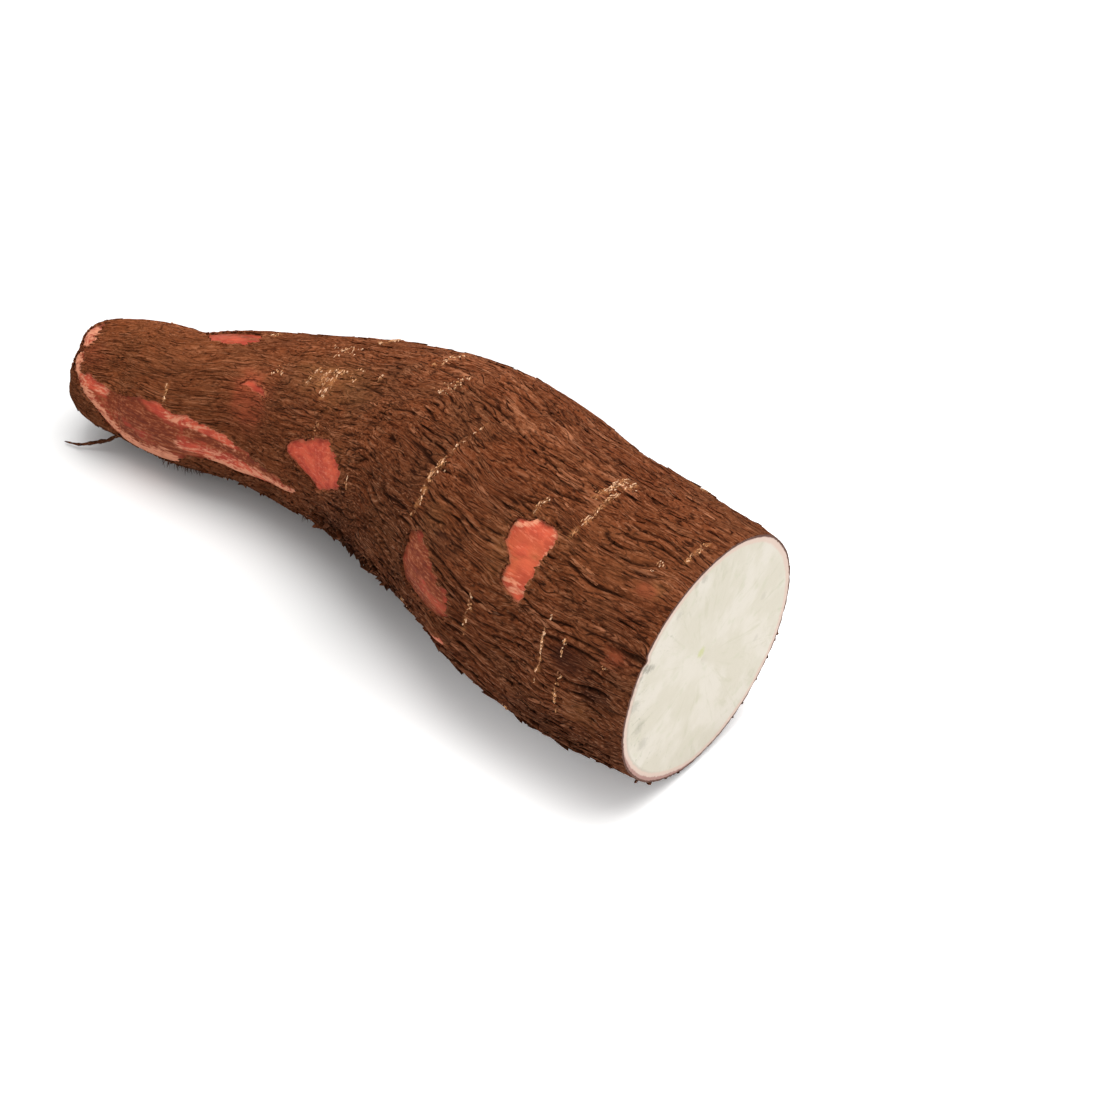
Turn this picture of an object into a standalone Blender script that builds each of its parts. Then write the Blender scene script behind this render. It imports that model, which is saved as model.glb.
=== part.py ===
"""A cassava root, cut straight across near its neck and lying on its side.

The root is one solid. Metres, +Z up: X runs along the root from its blunt tip to its cut face, the root
lies on Z = 0, and the origin is on the floor under the middle of its box.
"""
import math

import bmesh
import bpy
import numpy as np
from mathutils import Matrix, Vector

MM = 0.001

# The root's line: distance back from a place just inside the cut, sideways place of the heart, half
# thickness, and height of the underside. Millimetres. The first station is past the cut, and is cut away.
STATIONS = (
    (-14, -1.4, 33.5, 1.6),
    (0, -1.2, 33.9, 1.4),
    (25, -0.8, 35.2, 0),
    (50, 1.5, 35.5, 0),
    (75, 8.5, 34.5, 0),
    (100, 14.5, 32, 0),
    (125, 16, 28.5, 0),
    (147, 14, 25, 0),
    (167, 9.8, 21.7, 1.6),
    (187, 3.6, 19.5, 0.4),
    (205, 0.8, 18.4, 0),
    (224, -9, 14, 6.5),
)
NOSE_LENGTH = 14 * MM        # the stretch over which the tip closes
NOSE_FULLNESS = 4.2          # 2 is a round nose, more is a blunter one

# Swellings and hollows of the outside: distance back from that place, way round from the top (positive is
# the far side, +Y), height, and how far each reaches along and around. Millimetres and degrees.
SWELLINGS = (
    (20, 60, 0.9, 30, 40),
    (38, -150, 0.8, 24, 45),
    (62, -70, -0.9, 22, 35),
    (88, 35, 0.9, 22, 40),
    (104, -95, 0.7, 20, 40),
    (128, -20, -0.8, 18, 45),
    (150, 70, 0.7, 18, 50),
    (176, -60, 0.6, 15, 50),
    (196, 60, -0.6, 14, 50),
)
BELLY_FLAT = 0.012           # how much the underside is pressed flat, as a share of the half thickness

# The cut: how far past that place it is, and its turn to the far side and its lean down.
CUT_PAST = 1.5 * MM
CUT_YAW = math.radians(2.5)
CUT_DIP = math.radians(2.6)

SETTLE_ROLL = math.radians(-2.2)    # roll about X at which the bent root comes to rest

SIDES = 60
BODY_RINGS = 34
NOSE_RINGS = 9

BARK_COLOUR = (0.155, 0.056, 0.028, 1)
BARK_ROUGHNESS = 0.85


def smooth_line(places, values, at):
    """Cubic Hermite curve through the values, its slope at each place the mean slope to its neighbours."""
    slopes = np.gradient(values, places)
    span = np.clip(np.searchsorted(places, at) - 1, 0, len(places) - 2)
    length = places[span + 1] - places[span]
    t = (at - places[span]) / length
    rise = 3 * t**2 - 2 * t**3
    between = values[span] * (1 - rise) + values[span + 1] * rise
    leaving = slopes[span] * (t**3 - 2 * t**2 + t) * length
    arriving = slopes[span + 1] * (t**3 - t**2) * length
    return between + leaving + arriving


def ring_places():
    """Distances back from the cut of every ring: even along the body, then crowding towards the tip."""
    start, end = STATIONS[0][0] * MM, STATIONS[-1][0] * MM
    body = np.linspace(start, end - NOSE_LENGTH, BODY_RINGS)
    turn = np.linspace(0, math.pi / 2, NOSE_RINGS + 2)[1:-1]
    return np.concatenate([body, end - NOSE_LENGTH + NOSE_LENGTH * np.sin(turn)])


def nose_share(back):
    """Share of the half thickness left at a distance back: 1 along the body, closing as a superellipse."""
    end = STATIONS[-1][0] * MM
    into_nose = np.clip((back - end + NOSE_LENGTH) / NOSE_LENGTH, 0, 1)
    return (1 - into_nose**NOSE_FULLNESS) ** (1 / NOSE_FULLNESS)


def swelling(back, angle):
    """Height of the outside above a plain round section: a sum of bell-shaped rises and falls."""
    height = np.zeros(np.broadcast(back, angle).shape)
    for place, turn, rise, reach, spread in SWELLINGS:
        away = (angle - math.radians(turn) + math.pi) % (2 * math.pi) - math.pi
        along = (back - place * MM) / (reach * MM)
        around = away / math.radians(spread)
        height += rise * MM * np.exp(-(along**2) - around**2)
    return height


def ring_points():
    """Points of every ring, one row a ring, each ring square to the root's line."""
    places, sideways, half, lift = (np.array(column) * MM for column in zip(*STATIONS))
    back = ring_places()
    full = smooth_line(places, half, back)
    heart_y = smooth_line(places, sideways, back)
    heart_z = smooth_line(places, lift, back) + full
    heart = np.stack([-back, heart_y, heart_z], axis=1)
    along = np.gradient(heart, back, axis=0)
    along /= np.linalg.norm(along, axis=1, keepdims=True)
    side = np.cross(along, (0, 0, 1))
    side /= np.linalg.norm(side, axis=1, keepdims=True)
    up = np.cross(side, along)
    angle = (np.arange(SIDES) + 0.5)[None, :] * 2 * math.pi / SIDES    # a facet, not an edge, lies lowest
    radius = full[:, None] + swelling(back[:, None], angle)
    radius *= 1 - BELLY_FLAT * np.clip(-np.cos(angle), 0, 1) ** 8
    radius *= nose_share(back)[:, None]
    outward = np.cos(angle)[..., None] * up[:, None, :] + np.sin(angle)[..., None] * side[:, None, :]
    return heart[:, None, :] + radius[..., None] * outward


def extrude_rings(bm, rings):
    """Carry a face from the first ring through the others, leaving a skin behind it, and close the tip."""
    face = bm.faces.new([bm.verts.new(point) for point in rings[0]])
    for ring in rings[1:]:
        face = bmesh.ops.extrude_discrete_faces(bm, faces=[face])["faces"][0]
        for vert, point in zip(face.verts, ring):
            vert.co = point
    bmesh.ops.poke(bm, faces=[face])


def cut_end(bm):
    """Slice the thick end off along the cut's plane, and close it with one flat face."""
    normal = Matrix.Rotation(CUT_YAW, 3, "Z") @ Matrix.Rotation(CUT_DIP, 3, "Y") @ Vector((1, 0, 0))
    _, sideways, half, lift = STATIONS[1]
    centre = Vector((CUT_PAST, sideways * MM, (lift + half) * MM))
    everything = bm.verts[:] + bm.edges[:] + bm.faces[:]
    sliced = bmesh.ops.bisect_plane(
        bm, geom=everything, dist=1e-6, plane_co=centre, plane_no=normal, clear_outer=True
    )
    rim = [edge for edge in sliced["geom_cut"] if isinstance(edge, bmesh.types.BMEdge)]
    bmesh.ops.holes_fill(bm, edges=rim, sides=0)


def settle(bm):
    """Roll the root to where it rests, and lay it on Z = 0 with the middle of its box over the origin."""
    bmesh.ops.rotate(bm, verts=bm.verts[:], cent=(0, 0, 0), matrix=Matrix.Rotation(SETTLE_ROLL, 3, "X"))
    points = np.array([vert.co for vert in bm.verts])
    low, high = points.min(axis=0), points.max(axis=0)
    middle = (low + high) / 2
    bmesh.ops.translate(bm, verts=bm.verts[:], vec=(-middle[0], -middle[1], -low[2]))


def bark_material():
    """Dry brown bark."""
    material = bpy.data.materials.new("bark")
    material.use_nodes = True
    shader = material.node_tree.nodes["Principled BSDF"]
    shader.inputs["Base Color"].default_value = BARK_COLOUR
    shader.inputs["Roughness"].default_value = BARK_ROUGHNESS
    shader.inputs["Metallic"].default_value = 0
    return material


def cassava_root():
    """The whole root as one closed body."""
    bm = bmesh.new()
    extrude_rings(bm, ring_points())
    cut_end(bm)
    settle(bm)
    bmesh.ops.recalc_face_normals(bm, faces=bm.faces[:])
    mesh = bpy.data.meshes.new("cassava_root")
    bm.to_mesh(mesh)
    bm.free()
    mesh.shade_smooth()
    mesh.set_sharp_from_angle(angle=math.radians(40))
    mesh.materials.append(bark_material())
    root = bpy.data.objects.new("cassava_root", mesh)
    bpy.context.scene.collection.objects.link(root)
    return root


for old in list(bpy.data.objects):
    bpy.data.objects.remove(old, do_unlink=True)
cassava_root()
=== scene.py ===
"""Looks of a cassava root: cracked brown bark, torn pink patches and a freshly cut white end.

Metres, +Z up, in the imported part's frame. A place on the skin is given by `along`, the distance over the skin
from a place just inside the cut, and by `angle`, the angle round the root from the top, positive towards +Y.
"""
from functools import partialmethod
from math import cos, pi, radians, sin

import bpy
import numpy as np
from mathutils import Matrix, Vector


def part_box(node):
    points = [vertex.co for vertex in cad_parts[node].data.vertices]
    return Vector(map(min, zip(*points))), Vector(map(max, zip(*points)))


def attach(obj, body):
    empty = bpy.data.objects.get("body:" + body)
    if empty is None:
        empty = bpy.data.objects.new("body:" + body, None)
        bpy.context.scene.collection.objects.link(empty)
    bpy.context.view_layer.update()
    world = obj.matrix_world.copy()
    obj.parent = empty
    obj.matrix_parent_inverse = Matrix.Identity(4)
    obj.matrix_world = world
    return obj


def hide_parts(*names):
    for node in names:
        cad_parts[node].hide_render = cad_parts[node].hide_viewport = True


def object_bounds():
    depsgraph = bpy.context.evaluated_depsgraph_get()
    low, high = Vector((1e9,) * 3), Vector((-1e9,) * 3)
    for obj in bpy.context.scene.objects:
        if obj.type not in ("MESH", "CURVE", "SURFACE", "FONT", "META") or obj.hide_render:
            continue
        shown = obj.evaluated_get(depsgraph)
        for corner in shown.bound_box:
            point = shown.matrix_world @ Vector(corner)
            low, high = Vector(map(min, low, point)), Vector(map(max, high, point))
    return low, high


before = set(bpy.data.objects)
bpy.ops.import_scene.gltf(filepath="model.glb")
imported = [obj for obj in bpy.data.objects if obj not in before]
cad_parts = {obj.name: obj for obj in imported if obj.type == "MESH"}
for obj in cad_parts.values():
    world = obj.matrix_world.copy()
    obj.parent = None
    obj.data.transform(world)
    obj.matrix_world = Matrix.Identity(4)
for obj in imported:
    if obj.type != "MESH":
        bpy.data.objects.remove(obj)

CAD_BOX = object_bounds()
MM = 0.001
FULL_TURN = 2 * pi
FAR = 9.0                    # more than any distance on the root, in metres or in cells
TINY = 1e-12                 # keeps a division from failing

# ---- the root's form, as the solid has it

# Distance back from a place just inside the cut, sideways place of the heart, half thickness, and height of
# the underside (mm).
STATIONS = np.array((
    (-14, -1.4, 33.5, 1.6), (0, -1.2, 33.9, 1.4), (25, -0.8, 35.2, 0), (50, 1.5, 35.5, 0), (75, 8.5, 34.5, 0),
    (100, 14.5, 32, 0), (125, 16, 28.5, 0), (147, 14, 25, 0), (167, 9.8, 21.7, 1.6), (187, 3.6, 19.5, 0.4),
    (205, 0.8, 18.4, 0), (224, -9, 14, 6.5),
)) * MM
LINE_STEP = 0.25 * MM
NOSE_LENGTH = 14 * MM
NOSE_FULLNESS = 4.2
NOSE_POINTS = 4001
# Place (mm), angle (degrees), rise and reach along (mm), spread around (degrees).
SWELLINGS = (
    (20, 60, 0.9, 30, 40), (38, -150, 0.8, 24, 45), (62, -70, -0.9, 22, 35), (88, 35, 0.9, 22, 40),
    (104, -95, 0.7, 20, 40), (128, -20, -0.8, 18, 45), (150, 70, 0.7, 18, 50), (176, -60, 0.6, 15, 50),
    (196, 60, -0.6, 14, 50),
)
BELLY_FLAT = 0.012
CUT_PAST = 1.5 * MM
CUT_STEPS = 6
CUT_YAW = radians(2.5)
CUT_DIP = radians(2.6)
SETTLE_ROLL = radians(-2.2)

CUT_CENTRE = np.array((CUT_PAST, STATIONS[1, 1], STATIONS[1, 2] + STATIONS[1, 3]))
CUT_NORMAL = np.array((cos(CUT_YAW) * cos(CUT_DIP), sin(CUT_YAW) * cos(CUT_DIP), -sin(CUT_DIP)))
LINE_END = STATIONS[-1, 0]
BODY_LENGTH = LINE_END - NOSE_LENGTH


def smooth_line(places, values, at):
    """Cubic Hermite curve through the values, its slope at each the mean slope to its neighbours."""
    slopes = np.gradient(values, places)
    span = np.clip(np.searchsorted(places, at) - 1, 0, len(places) - 2)
    length = places[span + 1] - places[span]
    t = (at - places[span]) / length
    rise = 3 * t**2 - 2 * t**3
    between = values[span] * (1 - rise) + values[span + 1] * rise
    leaving = slopes[span] * (t**3 - 2 * t**2 + t) * length
    return between + leaving + slopes[span + 1] * (t**3 - t**2) * length


def unit(vectors):
    """Vectors divided by their lengths."""
    return vectors / np.maximum(np.linalg.norm(vectors, axis=-1, keepdims=True), TINY)


def line_table():
    """The root's line in short steps: place, half thickness, heart, side and up directions square to it."""
    back = np.arange(STATIONS[0, 0], LINE_END + 1e-9, LINE_STEP)
    heart_y, half, lift = (smooth_line(STATIONS[:, 0], column, back) for column in STATIONS[:, 1:].T)
    heart = np.stack([-back, heart_y, lift + half], axis=1)
    forward = unit(np.gradient(heart, back, axis=0))
    side = unit(np.cross(forward, (0, 0, 1)))
    return np.column_stack([back, half, heart, side, np.cross(side, forward)])


def nose_table():
    """The tip's profile, a quarter superellipse: arc length, distance past the body, share of thickness.

    With t from 0 to a quarter turn, the distance is sin(t)^(2/p) and the share is cos(t)^(2/p).
    """
    t = np.linspace(0, pi / 2, NOSE_POINTS)
    past = NOSE_LENGTH * np.sin(t) ** (2 / NOSE_FULLNESS)
    share = np.clip(np.cos(t), 0, 1) ** (2 / NOSE_FULLNESS)
    steps = np.hypot(np.diff(past), np.diff(share) * STATIONS[-1, 2])
    return np.column_stack([np.concatenate([[0], np.cumsum(steps)]), past, share])


LINE = line_table()
NOSE = nose_table()
SKIN_LENGTH = BODY_LENGTH + NOSE[-1, 0]


def bell(x, y):
    """A round hump: e to the power of minus x squared minus y squared."""
    return np.exp(-x**2 - y**2)


def turned(angle, middle=0):
    """The angle counted from another one, within half a turn either way."""
    return (angle - middle + pi) % FULL_TURN - pi


def swelling(back, angle):
    """Height above a plain round section: a sum of bell-shaped rises and falls."""
    return sum(
        rise * MM * bell((back - place * MM) / (reach * MM), turned(angle, radians(turn)) / radians(spread))
        for place, turn, rise, reach, spread in SWELLINGS
    )


def on_line(along):
    """How far back on the root's line a place is, and its share of the thickness there."""
    over = np.clip(along - BODY_LENGTH, 0, None)
    back = np.minimum(along, BODY_LENGTH) + np.interp(over, NOSE[:, 0], NOSE[:, 1])
    return back, np.interp(over, NOSE[:, 0], NOSE[:, 2])


def thickness(along, least=0):
    """Half thickness, closing to nothing at the tip, or to `least` millimetres."""
    back, share = on_line(along)
    return np.maximum(np.interp(back, LINE[:, 0], LINE[:, 1]) * share, least * MM)


def grown(along, angle):
    """Points of the smooth skin before the root is rolled to rest: heart plus radius times outward."""
    along, angle = np.broadcast_arrays(along, angle)
    back, share = on_line(along)
    read = [np.interp(back, LINE[:, 0], column) for column in LINE[:, 1:].T]
    half, heart, side, up = read[0], *(np.stack(read[k:k + 3], axis=-1) for k in (1, 4, 7))
    radius = (half + swelling(back, angle)) * (1 - BELLY_FLAT * np.clip(-np.cos(angle), 0, 1) ** 8) * share
    return heart + radius[..., None] * (np.cos(angle)[..., None] * up + np.sin(angle)[..., None] * side)


def rolled(vectors):
    """Vectors turned about X by the roll at which the root rests."""
    c, s = cos(SETTLE_ROLL), sin(SETTLE_ROLL)
    x, y, z = np.moveaxis(vectors, -1, 0)
    return np.stack([x, c * y - s * z, s * y + c * z], axis=-1)


def rim_along(angle):
    """Where the skin meets the cut's slanting plane, found by stepping to it a few times."""
    along = np.zeros(np.shape(angle))
    for _ in range(CUT_STEPS):
        along = along + (grown(along, angle) - CUT_CENTRE) @ CUT_NORMAL / CUT_NORMAL[0]
    return along


def frame_shift():
    """What moves the grown root onto the solid: box middles in X and Y, lowest points in Z."""
    angle = np.linspace(-pi, pi, 361)[None, :]
    share = np.linspace(0, 1, 401)[:, None]
    points = rolled(grown(rim_along(angle) * (1 - share) + SKIN_LENGTH * share, angle)).reshape(-1, 3)
    low, high = points.min(axis=0), points.max(axis=0)
    box_low, box_high = (np.array(corner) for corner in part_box("cassava_root"))
    shift = (box_low + box_high - low - high) / 2
    shift[2] = box_low[2] - low[2]
    return shift


SHIFT = frame_shift()


def skin(along, angle):
    """Points of the smooth skin, in the part's frame."""
    return rolled(grown(along, angle)) + SHIFT


def outward(along, angle):
    """Unit directions square to the skin: the cross product of its slopes round and along."""
    near_tip = np.minimum(along, SKIN_LENGTH - 0.3 * MM)
    step, turn = 0.2 * MM, 0.004
    ahead = grown(near_tip + step, angle) - grown(near_tip - step, angle)
    around = grown(near_tip, angle + turn) - grown(near_tip, angle - turn)
    return rolled(unit(np.cross(around, ahead)))


# ---- noise that closes up round the root

NOISE_BEFORE = 0.04          # the cells start this far before the cut, and run on for NOISE_SPAN
NOISE_SPAN = 0.32


def ease(t):
    """Smooth step from 0 to 1, level at both ends."""
    t = np.clip(t, 0, 1)
    return t * t * (3 - 2 * t)


def cell_of(along, angle, length, cells, first=0):
    """A place in cells along and round, and the whole numbers of the cell it is in."""
    x = (along + NOISE_BEFORE) / length + first
    y = (angle / FULL_TURN % 1) * cells
    return x, y, np.floor(x).astype(int), np.floor(y).astype(int)


def grain(along, angle, length, cells, seed):
    """Gradient noise from about -1 to 1, on cells `length` mm long with `cells` of them round the root.

    Every cell corner has a random unit slope, and the four are taken at the point and blended smoothly.
    """
    rows = int(NOISE_SPAN / (length * MM)) + 3
    slope = np.random.default_rng(seed).uniform(0, FULL_TURN, (rows, cells))
    x, y, i, j = cell_of(along, angle, length * MM, cells)
    u, v = x - i, y - j
    ease_u, ease_v = (t**3 * (t * (6 * t - 15) + 10) for t in (u, v))
    value = 0
    for di, dj in ((0, 0), (0, 1), (1, 0), (1, 1)):
        turn = slope[np.clip(i + di, 0, rows - 1), (j + dj) % cells]
        weight = (ease_u if di else 1 - ease_u) * (ease_v if dj else 1 - ease_v)
        value = value + weight * (np.cos(turn) * (u - di) + np.sin(turn) * (v - dj))
    return value * 1.5


def scales(along, angle, length, cells, seed):
    """Long packed scales, each the ground nearest to one of the seeds, one jittered seed per cell.

    Gives the gap (second nearest distance less nearest, in cells), each scale's random tone from 0 to 1,
    and the place along it, from about -1 at its cut side to 1 at its tip side.
    """
    rng = np.random.default_rng(seed)
    rows = int(NOISE_SPAN / (length * MM)) + 4
    seeds = rng.uniform(0.1, 0.9, (rows, cells, 2))
    tones = rng.uniform(0, 1, (rows, cells))
    x, y, i, j = cell_of(along, angle, length * MM, cells, 1)
    nearest = second = FAR
    tone = place = 0
    for di in (-1, 0, 1):
        for dj in (-1, 0, 1):
            row, column = np.clip(i + di, 0, rows - 1), (j + dj) % cells
            dx = i + di + seeds[row, column, 0] - x
            distance = np.hypot(dx, j + dj + seeds[row, column, 1] - y)
            closer = distance < nearest
            second = np.where(closer, nearest, np.minimum(second, distance))
            tone = np.where(closer, tones[row, column], tone)
            place = np.where(closer, -dx, place)
            nearest = np.where(closer, distance, nearest)
    return second - nearest, tone, place


# ---- peeled patches

# Outlines of the peeled patches: how pink each is, from 1 for fresh inner skin to 0 for a brown film, then
# its corners' places along (mm) and angles (degrees).
PATCHES = {
    "long_strip": (0.45, (
        (222, -61), (217.6, -58), (214.2, -64), (209.2, -67), (194.5, -65), (188.9, -63), (186.5, -61),
        (184.2, -66), (181.3, -67), (174.4, -71), (169.9, -76), (164.9, -78), (161.2, -82), (156.3, -86),
        (150, -91), (143.5, -94), (135.5, -98), (139.4, -103), (146.3, -104), (154.4, -108), (162.6, -113),
        (169, -111), (176, -107), (181.6, -108), (185.3, -124), (190, -135), (197.4, -134), (204, -130),
        (210.4, -123), (212.2, -109), (215, -95), (219, -83), (221.2, -68),
    )),
    "tip_corner": (0.6, (
        (225, 4), (223.2, 18), (221, 27), (219.4, 23), (218, 8), (218.6, 0), (218.2, -12), (219.4, -22),
        (221.5, -29), (224, -16),
    )),
    "tip_edge": (0.35, (
        (222.6, -28), (224.6, -40), (224, -64), (221, -64), (220, -58), (220.2, -46), (220.6, -33),
    )),
    "upper_tip": (0.7, (
        (185.7, 20), (179.7, 27.8), (166.4, 14.8), (164.5, 1.8), (167.5, -6.5), (173.1, -5.8), (178.5, -1.2),
    )),
    "shoulder": (0.9, (
        (138.5, -67), (128.5, -60.8), (117.9, -57.2), (113.9, -62.5), (107.6, -69.2), (106.7, -78.5),
        (122.4, -88.5), (125.9, -83.5), (134, -78.8), (139.1, -73.8),
    )),
    "two_lobes": (0.95, (
        (43.6, -38), (43.6, -34), (42.4, -32), (40.8, -32.5), (40, -30), (39, -28), (38, -29.5), (35.4, -28),
        (33, -29.4), (31.6, -33), (31.4, -36.5), (32, -40), (32, -46), (31.8, -53), (31.9, -58),
        (32.2, -62.5), (34.2, -61), (36, -60.2), (38, -59), (39.6, -56.5), (39.9, -53), (39.4, -50),
        (40, -47.5), (41.8, -46), (43.4, -44),
    )),
    "faded": (0.34, (
        (67.6, -69.5), (62.2, -63.8), (56.6, -71.2), (54.1, -76.5), (50.3, -77.2), (49.4, -83.8),
        (49.7, -92.8), (52.9, -94.5), (59.3, -95), (66.1, -93.5), (69, -86.5), (67.6, -77.2),
    )),
    "stroke": (0.8, (
        (163.4, -40), (161.6, -33.8), (155.6, -36.8), (151.6, -44.6), (154.6, -45), (160, -41.4),
    )),
    "low_sliver": (0.7, ((69, -113), (62, -113), (51, -103), (50, -109), (60, -121), (68, -123))),
    "rim_spot": (0.8, ((5.5, 44), (3.0, 42), (2.6, 47), (5.0, 49))),
    "far_side": (0.75, ((96, 74), (88, 80), (78, 78), (74, 88), (80, 98), (90, 101), (97, 92), (101, 82))),
    "far_tip": (0.7, ((190, 96), (181, 104), (172, 101), (170, 112), (180, 122), (191, 116))),
    "far_rim": (0.65, ((22, 118), (12, 121), (8, 132), (15, 141), (24, 136), (28, 126))),
    "belly": (0.45, ((124, 150), (112, 146), (106, 156), (112, 168), (123, 166), (130, 158))),
}
PEEL_DEPTH = 0.65 * MM
TOP_FRINGE = ((184, -70), (178, -73), (171, -78), (163, -84))
LOW_FRINGE = ((182, -96), (176, -97), (167, -101), (153, -102))
TIP_FRINGE = ((219, -64), (213, -70))

# Marks in the patches: how strong, how wide (mm), and the line they follow. A film is a brown skin left
# behind, a blush is fresh pink, and a ridge is a raised pale fibre.
FILMS = (
    (0.9, 2.6, ((209, -77), (198, -80), (193, -86))), (0.9, 3.4, ((193, -76), (188, -86), (186, -97))),
    (0.6, 2.2, ((204, -98), (196, -108))), (1.0, 1.1, ((179, -82), (172, -86), (160, -92), (149, -96))),
    (0.55, 0.7, ((39, -48), (36, -44), (33, -42))), (0.8, 2.0, ((66, -73), (60, -76))),
    (0.7, 1.5, ((60, -79), (53, -83))), (0.6, 1.2, ((66, -90), (56, -93))),
    (0.7, 1.0, ((220.5, 16), (219, 6), (219.4, -14))), (0.5, 1.2, ((180, 22), (172, 14), (168, 6))),
    (0.6, 1.5, ((90, 84), (80, 84), (78, 94))),
)
BLUSHES = (
    (1.0, 2.2, TIP_FRINGE), (1.0, 1.6, TOP_FRINGE), (0.9, 1.6, LOW_FRINGE),
    (0.9, 2.0, ((190, -66), (180, -71))), (0.4, 3.0, ((56, -85), (51, -87))),
)
RIDGES = (
    (1.0, 1.2, ((175, -103), (164, -108), (151, -102), (137, -101))),
    (0.95, 1.7, ((219, -78), (214, -94), (207, -110))), (1.15, 3.6, ((203, -118), (193, -127), (187, -119))),
    (0.5, 2.2, TOP_FRINGE), (0.45, 2.2, LOW_FRINGE), (0.5, 2.0, TIP_FRINGE),
    (0.9, 0.7, ((43, -36), (41, -34.5), (39.5, -30.5))),
    (0.8, 0.7, ((34.5, -29), (32.2, -33), (32.4, -44), (32.4, -58))), (0.5, 2.4, ((37.5, -57), (34, -60))),
    (0.9, 3.0, ((224, 6), (220, -8), (221, -20))), (1.0, 1.6, ((224, -32), (222, -50), (221, -63))),
    (0.6, 2.0, ((68, -117), (60, -117), (51, -106))),
)

# Spots in the bark: place (mm), angle (degrees), reach along and round (mm), and how much darker, tanner and
# redder the bark is there.
SPOTS = (
    (137, -23, 11, 6, 0, 0.55, 0), (122, -28, 10, 6, 0, 0.55, 0), (200, -22, 20, 12, 0, 0.12, 0),
    (183, -20, 12, 9, 0, 0.12, 0.1), (219, -38, 4, 4, 0.1, 0, 0.7), (38, -45, 8, 9, 0, 0.5, 0),
    (4.8, -31.4, 2.0, 1.5, 0, 0.6, 1.6), (3.0, -29.8, 1.5, 1.6, 0, 2.5, 0.2), (15, -27, 14, 9, 0, 0.25, 0.1),
    (4, -38, 5, 6, 0.1, 0.1, 0.2), (80, -80, 7, 5, 0, 0.3, 0.1), (61, -54, 5, 4, 0, 0.3, 0),
    (115, -66, 7, 5, 0, 0.2, 0), (10, -92, 5, 4, 0, 0.4, 0), (160, 2, 8, 6, 0.3, 0, 0),
    (147, -30, 7, 6, 0.35, 0, 0), (136, -46, 5, 4, 0.4, 0, 0), (151, -46, 6, 4, 0.25, 0, 0),
    (58, 12, 14, 8, 0.25, 0, 0), (40, 14, 12, 8, 0.25, 0, 0), (22, 10, 10, 7, 0.2, 0, 0),
    (86, 10, 10, 7, 0.15, 0, 0), (72, -46, 14, 11, 0.16, 0, 0), (48, -18, 12, 9, 0.12, 0, 0),
    (54, -62, 3, 3, 0.45, 0, 0), (48, -74, 5, 4, 0.35, 0, 0), (49, -31, 6, 5, 0.2, 0, 0),
    (15, -71, 5, 3.5, 1.2, 0, 0.2), (6.5, -80, 4, 2.2, 1.1, 0, 0), (22, -113, 20, 5, 0.35, 0, 0),
    (112, -111, 15, 8, 0.85, 0, 0), (3.2, -61, 3.4, 2.4, 0, 0.1, 0.8), (56.3, -59, 1.6, 1.1, 0.9, 0, 0),
    (39.5, -20.5, 2.6, 1.2, 0.7, 0, 0), (33, -25, 3, 1.3, 0.5, 0, 0), (7, -27.4, 2.2, 0.9, 0.7, 0, 0),
    (158, -52, 6, 6, 0, 0, 1.4), (160, -38, 5, 4, 0, 0.1, 1.0), (26, 45, 4, 3, 0, 0.7, 0),
    (120, 80, 14, 9, 0, 0.35, 0), (60, 140, 12, 10, 0.3, 0, 0), (170, 150, 10, 8, 0, 0, 0.4),
)


def unrolled(along, angle, line):
    """Points' places round, and a line's corners' places along and round, on the skin unrolled flat."""
    corners = np.array(line, float)
    middle = radians(corners[:, 1].mean())
    corner_x = corners[:, 0] * MM
    corner_y = (np.radians(corners[:, 1]) - middle) * thickness(corner_x, 4)
    return turned(angle, middle) * thickness(along, 4), corner_x, corner_y


def edge_gap(x, y, ax, ay, bx, by):
    """Distance from points to the edge between the corners a and b."""
    share = ((x - ax) * (bx - ax) + (y - ay) * (by - ay)) / ((bx - ax) ** 2 + (by - ay) ** 2)
    share = np.clip(share, 0, 1)
    return np.hypot(x - ax - share * (bx - ax), y - ay - share * (by - ay))


def outline_distance(along, angle, outline):
    """Signed distance to a closed outline on the unrolled skin, positive inside it.

    It is the least distance to an edge. A line sideways from a point inside crosses an odd number of edges.
    """
    y, corner_x, corner_y = unrolled(along, angle, outline)
    nearest, inside = FAR, False
    for ax, ay, bx, by in zip(corner_x, corner_y, np.roll(corner_x, -1), np.roll(corner_y, -1)):
        nearest = np.minimum(nearest, edge_gap(along, y, ax, ay, bx, by))
        inside ^= ((ay > y) != (by > y)) & (along < (bx - ax) * (y - ay) / (by - ay + TINY) + ax)
    return np.where(inside, nearest, -nearest)


def along_line(along, angle, marks):
    """How strongly marks show: each one's strength, times a smooth fall from its line to its width."""
    shown = 0
    for strength, width, line in marks:
        y, corner_x, corner_y = unrolled(along, angle, line)
        for ends in zip(corner_x, corner_y, corner_x[1:], corner_y[1:]):
            gap = edge_gap(along, y, *ends)
            shown = np.maximum(shown, strength * ease(1.5 - gap / (width * MM)))
    return shown


def spots(along, angle):
    """How dark, tan and red the bark is: a bell for each spot, broken up by noise."""
    shown = 0
    for place, turn, reach, width, *kinds in SPOTS:
        away = turned(angle, radians(turn)) * thickness(along, 4)
        shown = shown + bell((along - place * MM) / (reach * MM), away / (width * MM))[..., None] * kinds
    ragged = 0.9 + 0.9 * grain(along, angle, 4, 50, 45)
    return np.clip(shown * ragged[..., None], 0, 1)


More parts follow.
